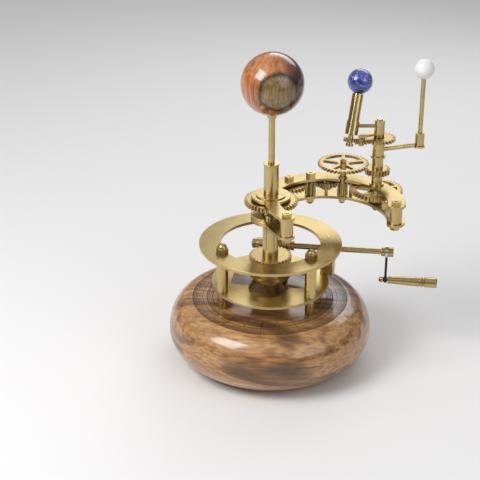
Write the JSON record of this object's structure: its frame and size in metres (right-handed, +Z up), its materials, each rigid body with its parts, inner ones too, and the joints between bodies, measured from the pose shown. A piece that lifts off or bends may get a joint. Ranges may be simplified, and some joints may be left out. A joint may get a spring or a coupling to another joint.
{
  "type": "tellurion",
  "caption": "Desktop orrery of Sun, Earth and Moon: crank and worm turn a geared brass arm over a ring on a round wooden base; Earth tilted.",
  "frame": {"origin": "centre of the flat underside of the base, on the Sun post's axis", "axes": "+Z up along the Sun post, +X along the crank shaft towards the crank, -Y towards the front pillars"},
  "size_m": [0.171, 0.13, 0.2028],
  "materials": {
    "base_wood": "gloss varnished walnut",
    "felt": "felt",
    "plate_brass": "flat ground and lightly polished",
    "turned_brass": "turned and polished",
    "gear_brass": "machined satin",
    "steel": "bright screw steel",
    "chrome": "polished",
    "dark_steel": "blackened wire",
    "sun_wood": "polished orange-red wood",
    "earth_stone": "polished blue stone with pale veins",
    "moon_stone": "matt white stone"
  },
  "bodies": {
    "frame": {"base": "base_wood", "felt_pad": "felt", "lower_plate": "plate_brass", "plate_standoffs": "turned_brass", "frame_pillars": "turned_brass", "ring_plate": "plate_brass", "ring_cap_nuts": "turned_brass", "ring_bracket": "turned_brass", "shaft_bearings": "turned_brass", "fixed_post": "turned_brass", "sun_gear": "gear_brass", "sun_socket": "turned_brass", "sun_rod": "turned_brass", "sun_ferrule": "turned_brass", "sun_ball": "sun_wood"},
    "arm": {"drive_wheel": "gear_brass", "arm_column": "turned_brass", "upper_arm_plate": "plate_brass", "lower_arm_plate": "plate_brass", "hub_cap": "plate_brass", "hub_screws": "steel", "flange_screws": "steel", "arm_pillars": "turned_brass", "arm_nuts": "turned_brass", "gear_studs": "turned_brass", "stud_nuts": "turned_brass", "earth_column_bush": "turned_brass"},
    "first_idler": {"first_idler": "gear_brass"},
    "long_pinion": {"long_pinion": "gear_brass"},
    "second_idler": {"second_idler": "gear_brass"},
    "compound": {"compound_pinion": "gear_brass", "spoked_wheel": "gear_brass"},
    "third_idler": {"third_idler": "gear_brass"},
    "head": {"head_gear": "gear_brass", "head_shaft": "turned_brass", "head_foot_nut": "turned_brass", "head_hub": "turned_brass", "head_screw": "steel", "head_bar": "turned_brass", "idler_bracket": "turned_brass", "tilted_sleeve": "turned_brass"},
    "moon": {"moon_gear": "gear_brass", "moon_tube": "turned_brass", "moon_boss": "turned_brass", "moon_arm": "turned_brass", "moon_socket": "turned_brass", "moon_rod": "turned_brass", "moon_ball": "moon_stone", "spin_gear": "gear_brass"},
    "head_idler": {"head_idler": "gear_brass"},
    "earth": {"earth_pinion": "gear_brass", "earth_spindle": "turned_brass", "earth_ball": "earth_stone"},
    "crank": {"crank_shaft": "turned_brass", "worm": "gear_brass", "end_collars": "turned_brass", "clamp_ring": "chrome", "crank_arm": "dark_steel", "ball_nut": "turned_brass"},
    "grip": {"crank_grip": "turned_brass"}
  },
  "joints": [
    {"name": "arm_turn", "type": "hinge", "parent": "frame", "child": "arm", "pos_m": [0, 0, 0.0626], "axis": [0, 0, 1], "continuous": true},
    {"name": "crank_turn", "type": "hinge", "parent": "frame", "child": "crank", "pos_m": [0, 0.018, 0.06905], "axis": [1, 0, 0], "continuous": true},
    {"name": "grip_turn", "type": "hinge", "parent": "crank", "child": "grip", "pos_m": [0.09, 0.018, 0.04905], "axis": [1, 0, 0], "continuous": true},
    {"name": "first_idler_turn", "type": "hinge", "parent": "arm", "child": "first_idler", "pos_m": [0.0085, 0.02584, 0.108], "axis": [0, 0, 1], "continuous": true},
    {"name": "long_pinion_turn", "type": "hinge", "parent": "arm", "child": "long_pinion", "pos_m": [0.02168, 0.03055, 0.105], "axis": [0, 0, 1], "continuous": true},
    {"name": "second_idler_turn", "type": "hinge", "parent": "arm", "child": "second_idler", "pos_m": [0.03164, 0.03356, 0.108], "axis": [0, 0, 1], "continuous": true},
    {"name": "compound_turn", "type": "hinge", "parent": "arm", "child": "compound", "pos_m": [0.04203, 0.03307, 0.11], "axis": [0, 0, 1], "continuous": true},
    {"name": "third_idler_turn", "type": "hinge", "parent": "arm", "child": "third_idler", "pos_m": [0.04724, 0.03679, 0.108], "axis": [0, 0, 1], "continuous": true},
    {"name": "head_turn", "type": "hinge", "parent": "arm", "child": "head", "pos_m": [0.06379, 0.02629, 0.125], "axis": [0, 0, 1], "continuous": true},
    {"name": "moon_turn", "type": "hinge", "parent": "arm", "child": "moon", "pos_m": [0.06379, 0.02629, 0.13], "axis": [0, 0, 1], "continuous": true},
    {"name": "head_idler_turn", "type": "hinge", "parent": "head", "child": "head_idler", "pos_m": [0.05316, 0.01847, 0.143], "axis": [0, 0, 1], "continuous": true},
    {"name": "earth_turn", "type": "hinge", "parent": "head", "child": "earth", "pos_m": [0.04729, 0.02383, 0.1513], "axis": [0.1061, 0.3827, 0.9178], "continuous": true}
  ],
  "couplings": [
    {"joint": "crank_turn", "follows": "arm_turn", "ratio": 32},
    {"joint": "first_idler_turn", "follows": "arm_turn", "ratio": 1.4286},
    {"joint": "long_pinion_turn", "follows": "arm_turn", "ratio": -5.7143},
    {"joint": "second_idler_turn", "follows": "arm_turn", "ratio": 2.1053},
    {"joint": "compound_turn", "follows": "arm_turn", "ratio": -5.7143},
    {"joint": "third_idler_turn", "follows": "arm_turn", "ratio": 4.4444},
    {"joint": "head_turn", "follows": "arm_turn", "ratio": -1},
    {"joint": "moon_turn", "follows": "arm_turn", "ratio": 12.381},
    {"joint": "head_idler_turn", "follows": "arm_turn", "ratio": -35.683},
    {"joint": "earth_turn", "follows": "arm_turn", "ratio": 40.143}
  ]
}
